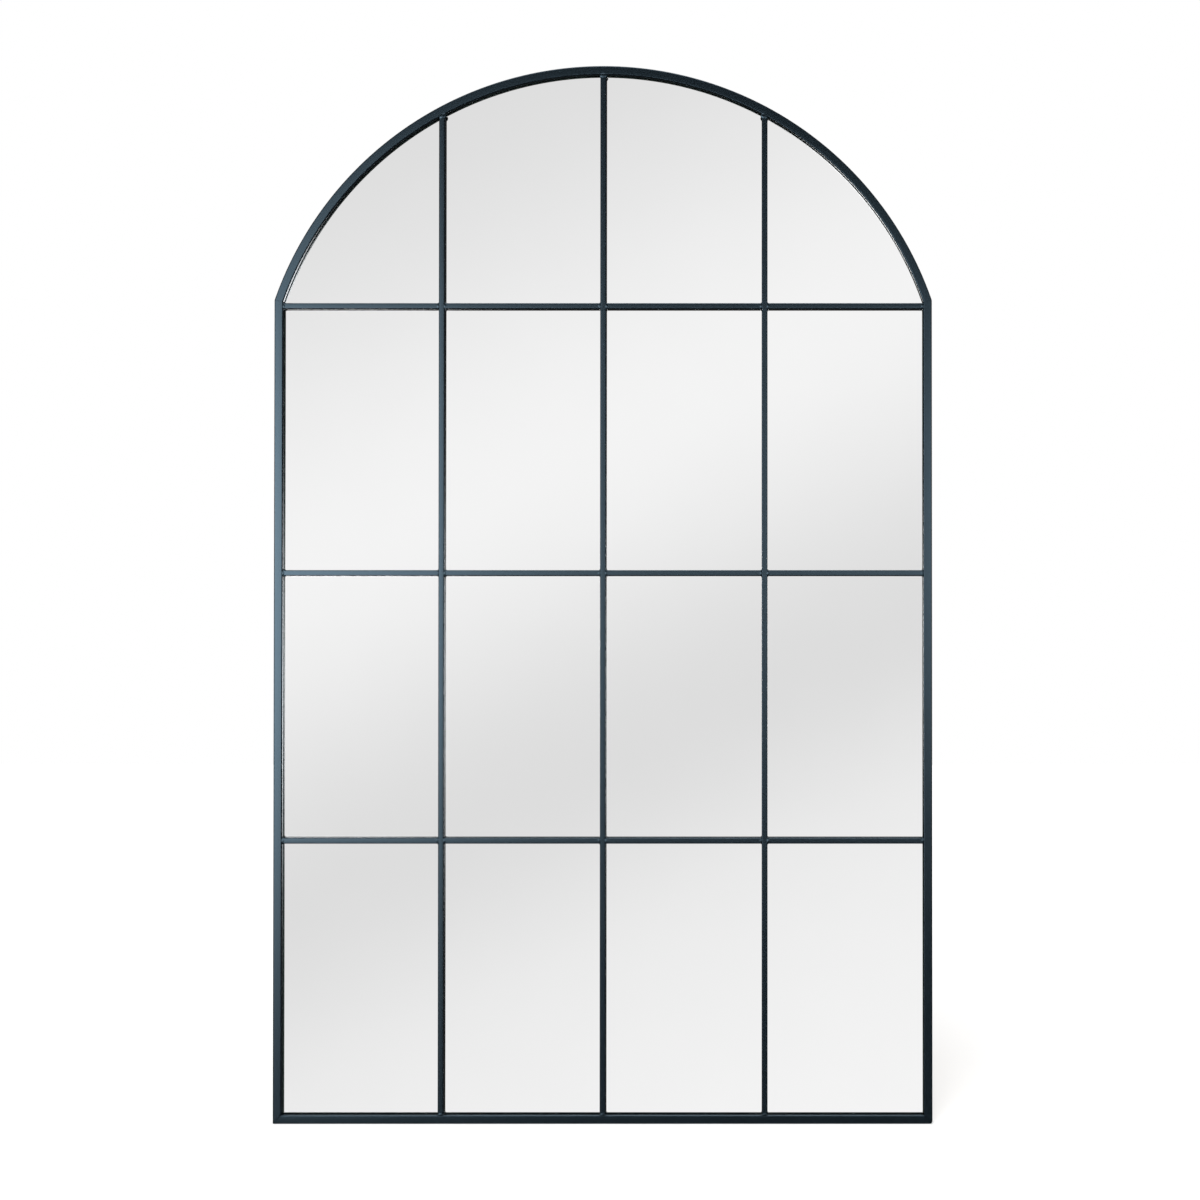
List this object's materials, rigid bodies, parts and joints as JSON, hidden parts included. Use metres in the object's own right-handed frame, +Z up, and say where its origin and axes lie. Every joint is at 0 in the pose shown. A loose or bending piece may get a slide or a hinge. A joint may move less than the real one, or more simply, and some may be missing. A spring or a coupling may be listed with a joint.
{
  "type": "floor mirror",
  "caption": "Tall floor mirror: an arched steel tube frame with a grid of glazing bars over a silvered sheet, a screwed back board and swinging hanger rings.",
  "frame": {"origin": "middle of the bottom rail's underside, where the mirror stands on the floor", "axes": "+X to the right seen from the front, +Y to the back, +Z up"},
  "size_m": [1.12, 0.026, 1.8],
  "materials": {
    "satin_paint": "satin blue-black powder coat on steel tube",
    "silvered_glass": "silvered float glass with ground edges",
    "hardboard": "brown hardboard, screen side out",
    "zinc_steel": "bright zinc plate on pressed steel and screws",
    "black_rubber": "moulded black rubber",
    "foam_tape": "white foam mounting tape"
  },
  "bodies": {
    "mirror": {"bottom_rail": "satin_paint", "left_stile": "satin_paint", "right_stile": "satin_paint", "arch_head": "satin_paint", "upright_bar_left": "satin_paint", "upright_bar_centre": "satin_paint", "upright_bar_right": "satin_paint", "cross_bar_low_1": "satin_paint", "cross_bar_low_2": "satin_paint", "cross_bar_low_3": "satin_paint", "cross_bar_low_4": "satin_paint", "cross_bar_middle_1": "satin_paint", "cross_bar_middle_2": "satin_paint", "cross_bar_middle_3": "satin_paint", "cross_bar_middle_4": "satin_paint", "cross_bar_high_1": "satin_paint", "cross_bar_high_2": "satin_paint", "cross_bar_high_3": "satin_paint", "cross_bar_high_4": "satin_paint", "mirror_glass": "silvered_glass", "setting_blocks": "black_rubber", "foam_tape": "foam_tape", "back_board": "hardboard", "side_screws": "zinc_steel", "rail_screws": "zinc_steel", "arch_screws": "zinc_steel", "hanger_screws": "zinc_steel", "left_hanger_strap": "zinc_steel", "right_hanger_strap": "zinc_steel", "wall_bumpers": "black_rubber"},
    "left_ring": {"left_hanger_ring": "zinc_steel"},
    "right_ring": {"right_hanger_ring": "zinc_steel"}
  },
  "joints": [
    {"name": "left_ring_swing", "type": "hinge", "parent": "mirror", "child": "left_ring", "pos_m": [-0.5525, 0.01358, 1.25583], "axis": [1, 0, 0], "range_deg": [0, 180]},
    {"name": "right_ring_swing", "type": "hinge", "parent": "mirror", "child": "right_ring", "pos_m": [0.5525, 0.01358, 1.25583], "axis": [1, 0, 0], "range_deg": [0, 180]}
  ]
}
